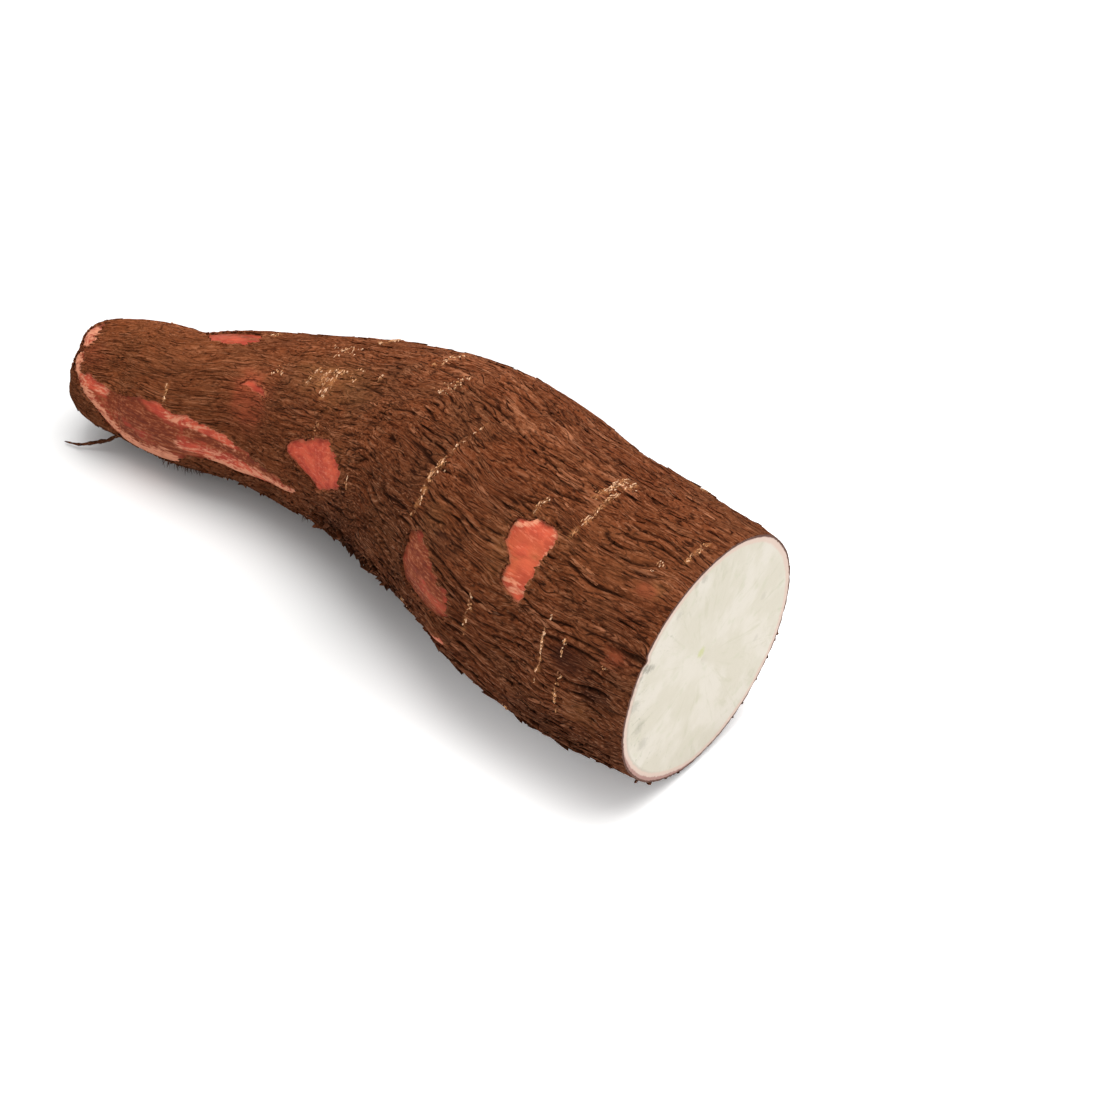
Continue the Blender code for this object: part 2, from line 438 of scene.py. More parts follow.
def peel(along, angle):
    """Signed distance into the nearest patch, frayed by noise, and how pink it is."""
    distance, pink = -FAR, 0
    for share, outline in PATCHES.values():
        here = outline_distance(along, angle, outline)
        pink = np.where(here > distance, share, pink)
        distance = np.maximum(distance, here)
    fray = 0.6 * grain(along, angle, 4.5, 64, 61) + 0.4 * grain(along, angle, 2.6, 130, 62)
    return distance + fray * MM, pink


# ---- relief of the bark

# A nick in the bark at the cut's rim: angle (degrees), depth, spread round and reach along (mm).
NICK = (-56.5, 1.9, 1.1, 5.0)


def flow(along, angle):
    """The place moved about a little, so that the bark's lines wander."""
    wave = 1.4 * grain(along, angle, 30, 9, 11) + 0.8 * grain(along, angle, 11, 24, 12)
    slide = 2.5 * grain(along, angle, 16, 14, 13)
    return along + slide * MM, angle + wave * MM / (28 * MM)


def folds(x, a, count, bend, length, seed):
    """Long folds along the root, from 0 in a valley to 1 on a ridge.

    The height is twice the distance from a whole number of the angle in turns times the count, bent by noise.
    """
    phase = a / FULL_TURN * count + bend * grain(x, a, length, max(count // 3, 6), seed)
    return 2 * np.abs(phase - np.round(phase))


def relief(along, angle):
    """Height of the bark over the smooth skin, how deep in a groove it is, and its tone.

    Height is broad lumps, less long grooves and finer cracks, each broken up by a patchy mask, plus packed
    scales that each tip up at one end, plus grit. The thick end is the more deeply furrowed.
    """
    x, a = flow(along, angle)
    lumps = 0.55 * grain(along, angle, 26, 7, 21) + 0.3 * grain(along, angle, 11, 16, 22)
    thick_end = 0.35 + 0.65 * ease((165 * MM - along) / (90 * MM))
    low_side = ease((0.55 - np.cos(angle)) / 0.7)
    coarse = folds(x, a, 84, 1.0, 15, 23)
    fine = folds(x, a, 168, 1.1, 9, 25)
    groove = np.clip(1 - coarse / 0.36, 0, 1) * ease(0.34 + 0.45 * low_side + 2.4 * grain(x, a, 11, 42, 24))
    groove *= thick_end
    crack = np.clip(1 - fine / 0.4, 0, 1) * ease(0.4 + 2.4 * grain(x, a, 6, 70, 26))
    gap, tone, place = scales(x, a, 10, 66, 27)
    _, small_tone, small_place = scales(x, a, 5, 150, 28)
    seam = np.clip(1 - gap / 0.12, 0, 1) * ease(0.5 + 1.5 * grain(x, a, 9, 30, 36))
    height = 0.35 * thick_end * coarse - (0.62 + 0.3 * low_side) * groove - 0.35 * crack - 0.25 * seam
    height += 0.16 * (tone - 0.5) + 0.16 * place * (0.3 + tone)
    height += 0.06 * (small_tone - 0.5) + 0.05 * small_place + 0.05 * grain(along, angle, 1.5, 230, 29)
    calm = 0.15 + 0.85 * ease((along - rim_along(angle)) / (6 * MM))
    corky = cork_band(along, angle)
    turn, deep, spread, reach = NICK
    nick = bell((angle - radians(turn)) * thickness(along) / (spread * MM), along / (reach * MM))
    height = lumps + height * calm * (1 - 0.5 * corky) + 0.1 * corky - deep * nick
    # depth: how deep a place lies in a groove, crack, seam or the nick; the bark material paints shade there
    # from it
    depth = np.maximum.reduce([groove, 0.8 * crack, 0.6 * seam]) * (1 - 0.5 * corky) * (0.5 + 0.5 * calm)
    depth = np.clip(np.maximum(depth, nick), 0, 1)
    return height * MM, depth, 0.4 * tone + 0.2 * small_tone + 0.4 * coarse


def above_floor(points):
    """The points, with those below the floor pressed flat onto it."""
    points[..., 2] = np.maximum(points[..., 2], CAD_BOX[0][2])
    return points


def straight_place(along, angle):
    """Where a place would be, in millimetres, on a straight root, so that grain follows the bend."""
    along, angle = flow(along, angle)
    half = thickness(along, 2)
    return np.stack([along, half * np.cos(angle), half * np.sin(angle)], axis=-1) / MM


# ---- mesh helpers


def build_mesh(name, points, faces, materials, face_material=None, smooth=True):
    """A mesh object from arrays: points, and a list of face arrays of one corner count each."""
    mesh = bpy.data.meshes.new(name)
    mesh.from_pydata(points.tolist(), [], [face for group in faces for face in group.tolist()])
    for material in materials:
        mesh.materials.append(material)
    if face_material is not None:
        mesh.polygons.foreach_set("material_index", face_material.astype(np.int32))
    mesh.polygons.foreach_set("use_smooth", np.full(len(mesh.polygons), smooth))
    mesh.update()
    piece = bpy.data.objects.new(name, mesh)
    bpy.context.scene.collection.objects.link(piece)
    return piece


def store(piece, **layers):
    """Store numbers or vectors on a piece's points, under names that the materials read."""
    for name, values in layers.items():
        if np.ndim(values) == 0:
            values = np.full(len(piece.data.vertices), values)
        kind, field = ("FLOAT", "value") if values.ndim == 1 else ("FLOAT_VECTOR", "vector")
        layer = piece.data.attributes.new(name, kind, "POINT")
        layer.data.foreach_set(field, values.astype(np.float32).ravel())


def bark_piece(name, points, faces, material, smooth, **layers):
    """A small piece of the bark's, with its stored numbers, that rides on the root."""
    piece = build_mesh(name, points.reshape(-1, 3), faces, [material], smooth=smooth)
    store(piece, inside=-5, lenticel=0, **layers)
    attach(piece, "root")


# ---- the root itself

AROUND = 448
ROWS = 203
CLOSE_UP = 0.25              # how much closer the columns stand on the side that faces up and forward
CLOSE_SIDE = radians(-50)
CUT_FADE = 60 * MM           # the slant of the cut has left the rows this far back
# Rings in from the rim of the cut: how many corners, and how far in each is (mm).
FACE_RINGS = (
    (448, (0.6, 1.1, 1.7)), (224, (2.5, 3.6, 5.2, 7.2, 9.6)), (112, (12.5, 16, 19.5, 23, 26.5, 30, 33)),
)
BARK, INNER_SKIN, FLESH = 0, 1, 2
SHARP = radians(55)          # edges sharper than this are drawn as edges


def body_grid():
    """Distance and angle of every grid point: rows from cut to tip, columns closer on one side."""
    spread = np.linspace(-pi, pi, AROUND, endpoint=False)
    angle = spread - CLOSE_UP * np.sin(spread - CLOSE_SIDE)
    row = np.linspace(0, SKIN_LENGTH - 0.7 * MM, ROWS)[:, None]
    chip = np.clip(0.35 + 1.3 * grain(0.0, angle, 5, 70, 31), 0, 1) * 0.15 * MM
    along = row + (rim_along(angle) + chip)[None, :] * (1 - ease(row / CUT_FADE))
    return along, np.broadcast_to(angle, along.shape)


def snap_to_tears(along, angle, touched):
    """Slide the touched points onto the patches' edges, by one slope step of at most half a cell."""
    step = 0.15 * MM
    half = thickness(along, 2)
    here = peel(along, angle)[0]
    slope_x = (peel(along + step, angle)[0] - here) / step
    slope_y = (peel(along, angle + step / half)[0] - here) / step
    scale = -here / np.maximum(slope_x**2 + slope_y**2, 0.2)
    moved_x = np.clip(scale * slope_x, -0.5 * MM, 0.5 * MM)
    moved_y = np.clip(scale * slope_y, -0.2 * MM, 0.2 * MM)
    return along + np.where(touched, moved_x, 0), angle + np.where(touched, moved_y / half, 0)


def grid_faces():
    """Corner numbers of the grid's quads, wound to face out."""
    number = np.arange(ROWS * AROUND).reshape(ROWS, AROUND)
    right = np.roll(number, -1, axis=1)
    return np.stack([number[1:], right[1:], right[:-1], number[:-1]], axis=-1).reshape(-1, 4)


def tear_walls(faces, peeled, lower):
    """Quads between the bark's torn edge and the patch below it, on the edges that both share."""
    edges = np.stack([faces, np.roll(faces, -1, axis=-1)], axis=-1)
    bark, bare = edges[~peeled].reshape(-1, 2), edges[peeled].reshape(-1, 2)
    count = faces.max() + 1
    torn = bark[np.isin(bark[:, 0] * count + bark[:, 1], bare[:, 1] * count + bare[:, 0])]
    first, last = torn[:, 0], torn[:, 1]
    return np.stack([last, first, lower[first], lower[last]], axis=-1)


def ring_faces(outer, inner):
    """Faces between two rings of corner numbers, the inner with as many or half as many corners."""
    outer_next, inner_next = np.roll(outer, -1), np.roll(inner, -1)
    if len(outer) == len(inner):
        return [np.stack([outer, outer_next, inner_next, inner], axis=-1)]
    first, middle, last = outer[::2], outer[1::2], np.roll(outer[::2], -1)
    return [np.stack([first, middle, inner], axis=-1), np.stack([middle, last, inner_next, inner], axis=-1)]


def face_relief(place):
    """Unevenness of the cut flesh: faint ridges along the knife's path, and small pits."""
    ridge = 0.05 * np.sin(place[:, 2] / (1.6 * MM) + 0.8 * np.sin(place[:, 1] / (9 * MM)))
    return (ridge + 0.05 * grain(place[:, 1], place[:, 2] * 30, 3, 40, 33)) * MM


def cut_face(rim, number):
    """The cut: rings of points shrunk in from the rim, their depths in (mm), and the faces.

    `number` is that of the first new point. The last one is the middle.
    """
    point, normal = rolled(CUT_CENTRE) + SHIFT, rolled(CUT_NORMAL)
    flat = rim - ((rim - point) @ normal)[:, None] * normal
    centre = flat.mean(axis=0)
    radius = np.linalg.norm(flat - centre, axis=1)
    rings, depths, faces = [], [], []
    outer = np.arange(AROUND)
    for count, ring_depths in FACE_RINGS:
        pick = np.arange(0, AROUND, AROUND // count)
        for depth in ring_depths:
            share = np.clip(1 - depth * MM / radius[pick], 0, 1)
            ring = centre + (flat[pick] - centre) * share[:, None]
            rings.append(ring + face_relief(ring)[:, None] * normal * min(1, depth / 3))
            depths.append(np.full(count, depth))
            inner = number + np.arange(count)
            number += count
            faces += ring_faces(outer, inner)
            outer = inner
    faces.append(np.stack([outer, np.roll(outer, -1), np.full(len(outer), number)], axis=-1))
    depths.append([radius.mean() / MM])
    return np.concatenate([*rings, centre[None, :]]), np.concatenate(depths), faces


def root_body(materials):
    """The whole root as one closed skin: bark, peeled patches let into it, and the cut face."""
    grid = body_grid()
    inside, _ = peel(*grid)
    pairs = inside[:-1] + inside[1:] + np.roll(inside, -1, 1)[:-1] + np.roll(inside, -1, 1)[1:]
    peeled = pairs > 0
    peeled[0] = False
    peeled = peeled.ravel()
    faces = grid_faces()
    bare, barked = (np.bincount(faces[kind].ravel(), minlength=inside.size) > 0 for kind in (peeled, ~peeled))
    torn = bare & barked
    x, a = snap_to_tears(*(part.ravel() for part in grid), torn)
    inside, pink = peel(x, a)
    height, depth, tone = relief(x, a)
    ridge, blush, film = (along_line(x, a, marks) for marks in (RIDGES, BLUSHES, FILMS))
    pink = np.clip(pink + 0.5 * blush - 0.55 * film, 0, 1)
    curl = 0.32 * ease(1 + inside / (1.4 * MM)) * (0.35 + 0.9 * grain(x, a, 3, 60, 34)) * MM
    curl *= ease((x - rim_along(a)) / (3 * MM))
    low = -PEEL_DEPTH * (1 - 0.35 * ease(inside / (4 * MM)))
    low += (0.1 * grain(x, a, 7, 120, 35) + 0.35 * grain(x, a, 26, 7, 21) + 0.45 * ridge) * MM
    base, normal = skin(x, a), outward(x, a)
    points = above_floor(base + np.where(bare & ~torn, low, height + curl)[:, None] * normal)
    low_edge = above_floor(base[torn] + (low[torn] - 0.1 * MM)[:, None] * normal[torn])

    lower = np.arange(len(points))
    lower[torn] = len(points) + np.arange(torn.sum())
    walls = tear_walls(faces, peeled, lower)
    tip = len(points) + torn.sum()
    last_row = np.arange((ROWS - 1) * AROUND, ROWS * AROUND)
    tip_faces = np.stack([np.roll(last_row, -1), last_row, np.full(AROUND, tip)], axis=-1)
    cut_points, from_rim, cut_faces = cut_face(points[:AROUND], tip + 1)
    tip_point = skin(np.array([SKIN_LENGTH]), 0.0)
    everything = np.concatenate([points, low_edge, tip_point, cut_points])
    groups = [np.where(peeled[:, None], lower[faces], faces), walls, tip_faces, *cut_faces]
    face_material = np.concatenate([
        np.where(peeled, INNER_SKIN, BARK),
        np.full(len(walls) + len(tip_faces), BARK),
        np.full(sum(map(len, cut_faces)), FLESH),
    ])
    body = build_mesh("root_body", everything, groups, materials, face_material)
    body.data.set_sharp_from_angle(angle=SHARP)

    def spread(values, on_cut=0):
        """Values for the grid's points, the torn edges' lower points, the tip and the cut."""
        shape = (len(cut_points), *values.shape[1:])
        return np.concatenate([values, values[torn], values[-1:], np.broadcast_to(on_cut, shape)])

    # shade is painted shade, set by the angle round the root
    on_skin = {"depth": depth, "tone": tone, "pink": pink, "ridge": ridge, "lenticel": lenticel_glow(x, a),
               "shade": painted_shade(x, a), "stain": spots(x, a)}
    store(
        body, **{name: spread(values) for name, values in on_skin.items()},
        inside=spread(inside / MM, from_rim),
        place=spread(straight_place(x, a), (cut_points - cut_points[-1]) / MM),
    )
    return body


# ---- corky rows and loose scales

# Rows of corky marks across the root: place along (mm), from and to angle (degrees), strength, scatter (mm).
CORK_ROWS = (
    (68.2, -63, -54, 1.0, 0.4), (68.6, -52, -36, 1.0, 0.8), (68.9, -38, -28, 0.7, 0.35),
    (69.4, -28, -12, 0.5, 0.3), (29.2, -29, 8, 0.9, 0.4), (32.6, -10, 8, 0.8, 0.5), (31.0, -4, 10, 0.5, 1.2),
    (22.4, -89, -57, 0.9, 0.12), (16.8, -72, -63, 0.8, 0.2), (16.6, -98, -77, 0.8, 0.2),
    (44.3, -90, -70, 0.8, 0.25), (41.4, -29, -20, 0.8, 0.3), (1.9, -12, 2, 0.9, 0.4),
    (6.5, -24, -18, 0.4, 0.5), (185.4, -62, -47, 0.9, 0.1), (128.6, -38, -18, 1.0, 0.8),
    (126.6, -61, -50, 0.4, 0.4), (132.5, -30, -18, 0.8, 1.0), (137, -31, -18, 0.9, 0.7),
    (122.5, -24, -14, 0.6, 1.0), (113, -22, -16, 0.5, 0.6), (134, -6, 6, 0.4, 2.4), (128, 12, 34, 0.7, 0.6),
    (102.4, -75, -70, 0.6, 0.3), (103, 2, 24, 0.5, 0.8), (164, 13, 22, 0.7, 0.5), (152, -28, -16, 0.3, 1.6),
    (89, -14, 2, 0.35, 1.5), (24, 40, 52, 0.6, 0.5), (5.0, -69, -65, 0.3, 0.5), (52, 58, 96, 0.8, 0.4),
    (57, 120, 150, 0.6, 0.4), (84, 122, 160, 0.8, 0.4), (112, 60, 92, 0.7, 0.6), (141, 82, 118, 0.7, 0.4),
    (150, 140, 176, 0.6, 0.4), (168, 70, 88, 0.5, 0.3), (24, 70, 100, 0.7, 0.5), (30, 150, 178, 0.6, 0.3),
    (74, -140, -112, 0.6, 0.4), (36, -150, -118, 0.6, 0.4), (110, -165, -140, 0.5, 0.3),
    (176, -160, -135, 0.5, 0.3), (204, 40, 80, 0.6, 0.3), (211, 120, 160, 0.5, 0.3),
)


def row_sway(angle):
    """How far a corky row wanders along the root."""
    return 0.7 * MM * grain(0.0, angle, 10, 30, 44)


def cork_band(along, angle):
    """How close a place is to a corky row: a bell across it, fading past its ends."""
    band = 0
    sway, half = row_sway(angle), thickness(along)
    for place, start, end, strength, scatter in CORK_ROWS:
        away = np.abs(turned(angle, radians((start + end) / 2)))
        past = np.clip(away - radians((end - start) / 2), 0, None) * half
        across = (along - place * MM - sway) / (0.6 + scatter)
        band = np.maximum(band, strength * np.exp(-(across**2 + past**2) / MM**2))
    return band


def lenticel_glow(along, angle):
    """How much the bark is warmed by a corky row, in small uneven spots."""
    return cork_band(along, angle) * ease(0.65 + 1.2 * grain(along, angle, 1.3, 110, 41))


# Painted shade on the bark: how much darker its colour is made at these angles (degrees) round the root.
SHADE_TURNS = np.radians((-180, -150, -110, -90, -70, -50, -30, 0, 30, 60, 110, 180))
SHADES = (1, 0.9, 0.64, 0.47, 0.4, 0.34, 0.22, 0.08, 0.18, 0.3, 0.48, 0.8)


def painted_shade(along, angle):
    """Painted shade: how much darker the bark's colour is made, least on top, rising to 1 underneath, in uneven
    clouds.
    """
    low = np.interp(turned(angle), SHADE_TURNS, SHADES)
    low = low * (0.75 + 0.25 * ease((170 * MM - along) / (90 * MM)))
    cloud = grain(along, angle, 34, 6, 42) * 0.2 + grain(along, angle, 15, 13, 43) * 0.14
    return np.clip(0.02 + low + cloud, 0, 1)


CHIP_CORNERS = 8
CHIP_POINTS = 2 * CHIP_CORNERS + 1


def chips(name, seed, material, along, angle, length, width, heading, back, front, crown, undercut=0.7):
    """Many small closed scales lying on the bark, their sizes in millimetres.

    Each is an uneven leaf. Its top rises from `back` to `front` along its length, with a crown in the
    middle, and its underside is drawn in by `undercut` and sunk into the bark.
    """
    rng = np.random.default_rng(seed)
    count = len(along)
    corner = np.arange(CHIP_CORNERS) * FULL_TURN / CHIP_CORNERS
    uneven = rng.uniform(0.68, 1.12, (count, CHIP_CORNERS))
    long_way = np.cos(corner) * uneven
    short_way = np.sin(corner) * np.abs(np.sin(corner)) ** 0.5 * uneven * (1 - 0.25 * np.cos(corner))
    share = (long_way + 1) / 2
    back, front, none = (np.broadcast_to(size, count)[:, None] for size in (back, front, 0))
    forward = np.hstack([long_way, long_way * undercut, none]) * length[:, None] / 2 * MM
    sideways = np.hstack([short_way, short_way * undercut, none]) * width[:, None] / 2 * MM
    sunk = np.full(share.shape, -0.3)
    lift = np.hstack([back * (1 - share) + front * share, sunk, (back + front) / 2 + crown]) * MM
    c, s = np.cos(heading)[:, None], np.sin(heading)[:, None]
    x = along[:, None] + forward * c - sideways * s
    a = angle[:, None] + (forward * s + sideways * c) / thickness(x, 5)
    x = np.minimum(x, SKIN_LENGTH - 0.5 * MM)
    height = relief(along, angle)[0][:, None] + lift
    points = above_floor(skin(x, a) + height[..., None] * outward(x, a))
    number = (np.arange(count) * CHIP_POINTS)[:, None]
    ring = number + np.arange(CHIP_CORNERS)
    following = number + (np.arange(CHIP_CORNERS) + 1) % CHIP_CORNERS
    peak = np.broadcast_to(number + CHIP_POINTS - 1, ring.shape)
    faces = [
        np.stack([peak, following, ring], axis=-1).reshape(-1, 3),
        np.stack([following + CHIP_CORNERS, ring + CHIP_CORNERS, ring, following], axis=-1).reshape(-1, 4),
        ring + CHIP_CORNERS,
    ]
    tone = rng.uniform(0, 1, count)
    slid = rng.uniform(0, 40 * MM, (count, 1))
    turn = rng.uniform(0, 1, (count, 1))
    bark_piece(
        name, points, faces, material, False,
        # depth 1 on each scale's drawn-in underside ring: painted shade under the scale
        depth=np.tile(np.repeat((0, 1, 0), (CHIP_CORNERS, CHIP_CORNERS, 1)), count),
        tone=np.repeat(tone, CHIP_POINTS), shade=np.repeat(painted_shade(along, angle), CHIP_POINTS),
        stain=np.repeat(spots(along, angle), CHIP_POINTS, axis=0), place=straight_place(x + slid, a + turn),
    )


def scattered(seed, tries):
    """Seeded random numbers, and with them random places all over the bark."""
    rng = np.random.default_rng(seed)
    return rng, rng.uniform(1.5 * MM, SKIN_LENGTH - 4 * MM, tries), rng.uniform(-pi, pi, tries)


def bark_flakes(material):
    """Loose scales all over the bark, lying along it, each with one end lifted."""
    rng, along, angle = scattered(51, 3200)
    keep = rng.uniform(0, 1, len(along)) < thickness(along) / (36 * MM)
    keep &= peel(along, angle)[0] < -0.9 * MM
    keep &= lenticel_glow(along, angle) < 0.5
    keep &= along - rim_along(angle) > 4 * MM
    along, angle = along[keep], angle[keep]
    count = len(along)
    length = (rng.gamma(5, 0.8, count) + 1.5) * (0.55 + 0.45 * ease((190 * MM - along) / (110 * MM)))
    width = length * rng.uniform(0.11, 0.22, count)
    step = 1.0 * MM
    drift = flow(along + step, angle)[1] - flow(along - step, angle)[1]
    heading = rng.normal(0, 0.07, count) - drift * thickness(along) / (2 * step)
    heading += np.where(rng.uniform(0, 1, count) < 0.5, 0, pi)
    front = rng.uniform(0.05, 0.4, count)
    chips("bark_flakes", 53, material, along, angle, length, width, heading, 0.02, front, 0.06)


def torn_edges(material):
    """Ragged slips of bark that stand out over the edges of the patches."""
    rng, along, angle = scattered(54, 90000)
    inside, _ = peel(along, angle)
    near = (inside < 0.1 * MM) & (inside > -0.5 * MM) & (along - rim_along(angle) > 3 * MM)
    keep = np.flatnonzero(near)[:900]
    along, angle = along[keep], angle[keep]
    count = len(along)
    step = 0.4 * MM
    rises = peel(along + step, angle)[0] > peel(along - step, angle)[0]
    heading = rng.normal(0, 0.25, count) + np.where(rises, 0, pi)
    length = rng.uniform(0.9, 2.4, count)
    width = length * rng.uniform(0.25, 0.5, count)
    front = rng.uniform(0.15, 0.45, count)
    chips("torn_edges", 55, material, along, angle, length, width, heading, 0.05, front, 0.05)


def cork_marks(material):
    """Short low corky lumps across the root that run together into broken rows."""
    rng = np.random.default_rng(56)
    marks = []
    for place, start, end, strength, scatter in CORK_ROWS:
        width = radians(end - start) * float(thickness(place * MM))
        count = max(4, int(width / (0.25 * MM) * (0.75 + scatter)))
        here = np.radians(rng.uniform(start, end, count))
        broken = ease(0.95 + 1.5 * grain(place * MM, here, 10, 70, 46))
        keep = rng.uniform(0, 1, count) < (0.35 + 0.65 * strength) * broken
        along = place * MM + row_sway(here) + rng.normal(0, scatter * MM, count)
        marks.append(np.stack([along, here, np.full(count, 0.5 + 0.5 * strength)])[:, keep])
    along, angle, size = np.hstack(marks)
    count = len(along)
    length = (0.4 + rng.gamma(2.5, 0.27, count)) * size
    lift = rng.uniform(0.12, 0.34, count)
    width = rng.uniform(0.17, 0.36, count)
    heading = pi / 2 + rng.normal(0, 0.3, count)
    chips("cork_marks", 57, material, along, angle, length, width, heading, lift * 0.7, lift, 0.1, 1.0)


def loose_flaps(material):
    """Larger ragged slips of bark along the underside, longest at the bend's inner edge."""
    rng = np.random.default_rng(58)
    count, at_bend = 420, 110
    along = rng.uniform(4 * MM, 205 * MM, count)
    side = np.where(rng.uniform(0, 1, count) < 0.7, -1, 1)
    angle = side * np.radians(rng.normal(118, 11, count))
    along = np.append(along, rng.uniform(88 * MM, 132 * MM, at_bend))
    angle = np.append(angle, np.radians(rng.normal(-119, 6, at_bend)))
    extra = np.append(np.zeros(count), rng.uniform(0, 1, at_bend))
    keep = (peel(along, angle)[0] < -1.5 * MM) & (along - rim_along(angle) > 3 * MM)
    along, angle, extra = along[keep], angle[keep], extra[keep]
    count = len(along)
    length = rng.uniform(2.2, 6.0, count) * (1 + 0.5 * extra)
    length *= 0.6 + 0.4 * ease((170 * MM - along) / (80 * MM))
    heading = rng.normal(0, 0.22, count) + np.where(rng.uniform(0, 1, count) < 0.5, 0, pi)
    lift = rng.uniform(0.3, 1.1, count) + 1.3 * extra**2
    width = length * rng.uniform(0.18, 0.4, count)
    chips("loose_flaps", 59, material, along, angle, length, width, heading, 0.05, lift, 0.1)


def rim_crumbs(material):
    """Dark crumbs of bark left along the cut's lower edge."""
    rng = np.random.default_rng(60)
    angle = np.radians((93, 108, 110, 111, 114, 133, 145, 168, -169, -160, -146, -133, 152, 122))
    count = len(angle)
    length = rng.uniform(0.9, 1.8, count)
    width = length * rng.uniform(0.5, 0.8, count)
    heading = rng.uniform(0, pi, count)
    back, front = rng.uniform(0.3, 0.8, count), rng.uniform(0.4, 0.9, count)
    along = rim_along(angle) + 0.7 * MM
    chips("rim_crumbs", 63, material, along, angle, length, width, heading, back, front, 0.3, 1.0)


# Middle line of the side root that trails from the tip onto the floor, and its half thickness (mm).
SIDE_ROOT = np.array((
    (-91.5, -18.2, 8.4, 0.62), (-93.4, -19.8, 7.0, 0.60), (-95.5, -20.6, 5.2, 0.55),
    (-98.3, -21.4, 3.8, 0.62), (-101.0, -22.9, 2.7, 0.50), (-103.8, -24.4, 1.7, 0.42),
    (-106.7, -25.1, 1.1, 0.30), (-109.5, -25.8, 0.8, 0.16),
)) * MM
FIBRE_CORNERS = 6


def fibres(name, paths, thick, material):
    """Round fibres: a ring of corners about each point of a path, the ends drawn in."""
    count, steps, _ = paths.shape
    ahead = unit(np.gradient(paths, axis=1))
    side = unit(np.cross(ahead, (0.2, 0.3, 1.0)))
    turn = np.arange(FIBRE_CORNERS)[:, None] * FULL_TURN / FIBRE_CORNERS
    spoke = np.cos(turn) * side[:, :, None, :] + np.sin(turn) * np.cross(side, ahead)[:, :, None, :]
    thick[:, (0, -1)] *= 0.05
    points = above_floor(paths[:, :, None, :] + thick[:, :, None, None] * spoke)
    number = np.arange(count * steps * FIBRE_CORNERS).reshape(count, steps, FIBRE_CORNERS)
    following = np.roll(number, -1, axis=2)
    walls = np.stack([number[:, :-1], following[:, :-1], following[:, 1:], number[:, 1:]], axis=-1)
    tone = np.repeat(np.random.default_rng(64).uniform(0, 0.7, count), steps * FIBRE_CORNERS)
    bark_piece(
        name, points, [walls.reshape(-1, 4), number[:, 0, ::-1], number[:, -1]], material, True,
        # shade 0.75 and depth 0.25 darken the whole fibre evenly, through the bark material's painted-shade
        # mixes
        depth=0.25, tone=tone, shade=0.75, stain=np.zeros(points.shape), place=points / MM,
    )


def side_root(material):
    """The trailing side root, smoothed through its points."""
    at = np.linspace(0, len(SIDE_ROOT) - 1, 40)
    path = np.stack([smooth_line(np.arange(len(SIDE_ROOT)), column, at) for column in SIDE_ROOT.T], axis=-1)
    uneven = 1 + 0.18 * np.sin(at * 5.1) + 0.1 * np.sin(at * 11.3)
    fibres("side_root", path[None, :, :3], (path[:, 3] * uneven)[None, :], material)


# Tufts of root hair: place along (mm), angle (degrees), how many hairs, their length (mm).
TUFTS = (
    (186, -134, 46, 1.9), (182, -131, 30, 1.6), (190, -137, 14, 2.2), (140, -128, 9, 2.2),
    (118, -122, 8, 2.0), (60, 128, 8, 2.4), (150, 132, 9, 2.4), (217, 150, 8, 2.6),
)


def hair_tufts(material):
    """Thin hairs that spread from a few places low on the bark and droop."""
    rng = np.random.default_rng(66)
    share = np.linspace(0, 1, 8)[None, :, None]
    paths, thick = [], []
    for place, turn, count, length in TUFTS:
        along = place * MM + rng.normal(0, 1.3 * MM, count)
        angle = radians(turn) + rng.normal(0, 0.06, count)
        out = outward(along, angle) + rng.normal(0, 0.7, (count, 3))
        reach = rng.uniform(0.5, 1.1, (count, 1, 1)) * length * MM
        start = (skin(along, angle) - 0.4 * MM * outward(along, angle))[:, None, :]
        bent = (rng.normal(0, 0.3, (count, 1, 3)) + (0, 0, -0.5)) * share**2
        paths.append(start + reach * (unit(out)[:, None, :] * share + bent))
        thick.append(rng.uniform(0.06, 0.16, (count, 1)) * MM * (1.15 - share[..., 0]))
    fibres("hair_tufts", np.concatenate(paths), np.concatenate(thick), material)


# ---- materials


class Wire:
    """A shader socket with arithmetic: an expression on wires and numbers adds its Math nodes."""

    def __init__(self, paint, socket):
        self.paint = paint
        self.socket = socket

    def math(self, operation, *others):
        """One Math node on this wire and the others."""
        return self.paint.node("ShaderNodeMath", {"operation": operation}, dict(enumerate((self, *others))))

    __add__ = __radd__ = partialmethod(math, "ADD")
    __sub__ = partialmethod(math, "SUBTRACT")
    __mul__ = __rmul__ = partialmethod(math, "MULTIPLY")
    __truediv__ = partialmethod(math, "DIVIDE")

    def __rsub__(self, other):
        return self.paint.node("ShaderNodeMath", {"operation": "SUBTRACT"}, {0: other, 1: self})

    def between(self, low, high):
        """0 below low, 1 above high, and smooth between them. High may be the smaller of the two."""
        ends = {1: low, 2: high, 3: 0, 4: 1} if low < high else {1: high, 2: low, 3: 1, 4: 0}
        return self.paint.node("ShaderNodeMapRange", {"interpolation_type": "SMOOTHSTEP"}, {0: self, **ends})


